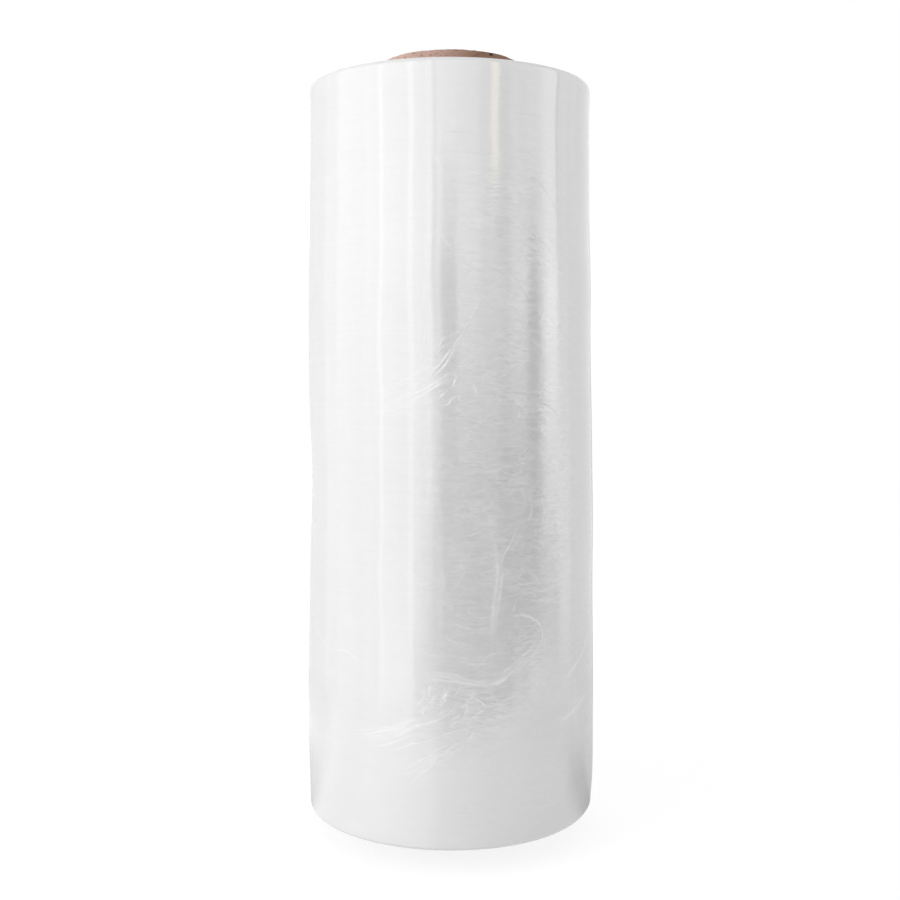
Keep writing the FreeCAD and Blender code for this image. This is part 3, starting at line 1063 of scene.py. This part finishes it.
# The wall's lowest ring repeats its brightness down to the table, and the highest one up to the top.
def standWall():
    heights = (0.0, *studio["wallHeights"], studio["wallTop"])
    stretches = [(turnFrom, turnTo, glow[0], *glow, glow[-1]) for turnFrom, turnTo, *glow in wall.values()]
    glowSheet("wall", stretches, [(studio["wallDistance"], height) for height in heights])


# Small things before the wall: from one angle to another, from one height to another, and colour.
smallCards = {
    "warmStrip": (29.5, 35.0, 0.515, 0.72, (2.10, 1.90, 1.56, 1)),
    "darkKnob": (59.0, 65.5, 0.444, 0.464, (0, 0, 0, 1)),
}


def standSmallCards():
    for name, (turnFrom, turnTo, low, high, colour) in smallCards.items():
        mesh = bmesh.new()
        corners = ((turnFrom, low), (turnTo, low), (turnTo, high), (turnFrom, high))
        mesh.faces.new([
            mesh.verts.new(onRing(studio["cardDistance"], math.radians(turn), height))
            for turn, height in corners
        ])
        card = finishMesh(mesh, name)
        glowForGloss(card, name, colour)


# 1 for what the camera sees straight, mirrored or through something, and 0 for light on matt surfaces.
def seenDirectly(sheet):
    seen = sheet.node("ShaderNodeLightPath", {}, {}, "Is Camera Ray")
    gloss = sheet.node("ShaderNodeLightPath", {}, {}, "Is Glossy Ray")
    through = sheet.node("ShaderNodeLightPath", {}, {}, "Is Transmission Ray")
    return sheet.clamped(seen + gloss + through)


def layTable():
    mesh = bmesh.new()
    bmesh.ops.create_grid(mesh, x_segments=8, y_segments=8, size=studio["tableSize"] / 2)
    table = finishMesh(mesh, "table")
    material, sheet = newMaterial("tableWhite")
    lit = sheet.node("ShaderNodeBsdfDiffuse", {}, {"Color": studio["tableColour"]})
    white = sheet.node("ShaderNodeEmission", {}, {"Color": (1, 1, 1, 1), "Strength": studio["tableWhite"]})
    share = seenDirectly(sheet) * studio["tableWhiteShare"]
    sheet.show(sheet.node("ShaderNodeMixShader", {}, {0: share, 1: lit, 2: white}))
    table.data.materials.append(material)


def lightWorld():
    world = bpy.data.worlds.new("studioWhite")
    world.use_nodes = True
    bpy.context.scene.world = world
    sheet = NodeSheet(world.node_tree)
    level = studio["worldFill"] + seenDirectly(sheet) * (1 - studio["worldFill"])
    glow = sheet.node("ShaderNodeBackground", {}, {"Color": level, "Strength": 1.0})
    sheet.node("ShaderNodeOutputWorld", {}, {"Surface": glow})


def hangLamp(name, place, size, power):
    light = bpy.data.lights.new(name, "AREA")
    light.shape = "RECTANGLE"
    light.size, light.size_y = size
    light.energy = power
    lamp = bpy.data.objects.new(name, light)
    lamp.location = place
    aim = Vector((0, 0, coreTop * 0.5)) - Vector(place)
    lamp.rotation_euler = aim.to_track_quat("-Z", "Y").to_euler()
    lamp.visible_glossy = False
    lamp.visible_camera = False
    bpy.context.scene.collection.objects.link(lamp)


photoView = {
    "sensor": 36.0,
    "lens": 48.99,
    "distance": 0.8662,
    "aside": -0.0003,
    "height": 0.3187,
    "pitch": 0.839,
    "shift": -0.0647,
}


def placeCamera():
    data = bpy.data.cameras.new("photoView")
    data.sensor_fit = "HORIZONTAL"
    data.sensor_width = photoView["sensor"]
    data.lens = photoView["lens"]
    data.shift_y = photoView["shift"]
    data.clip_start = 0.01
    camera = bpy.data.objects.new("photoView", data)
    camera.location = (photoView["aside"], -photoView["distance"], photoView["height"])
    camera.rotation_euler = (math.radians(90 - photoView["pitch"]), 0, 0)
    bpy.context.scene.collection.objects.link(camera)
    bpy.context.scene.camera = camera


layTable()
standWall()
paperRings = [(radius, studio["paperHeight"]) for radius in studio["tableRadii"]]
glowSheet("tablePaper", tableLook.values(), paperRings)
standSmallCards()
lightWorld()
for name, lamp in lamps.items():
    hangLamp(name, *lamp)
placeCamera()
bpy.context.scene.view_settings.view_transform = "Standard"
print("studio set")
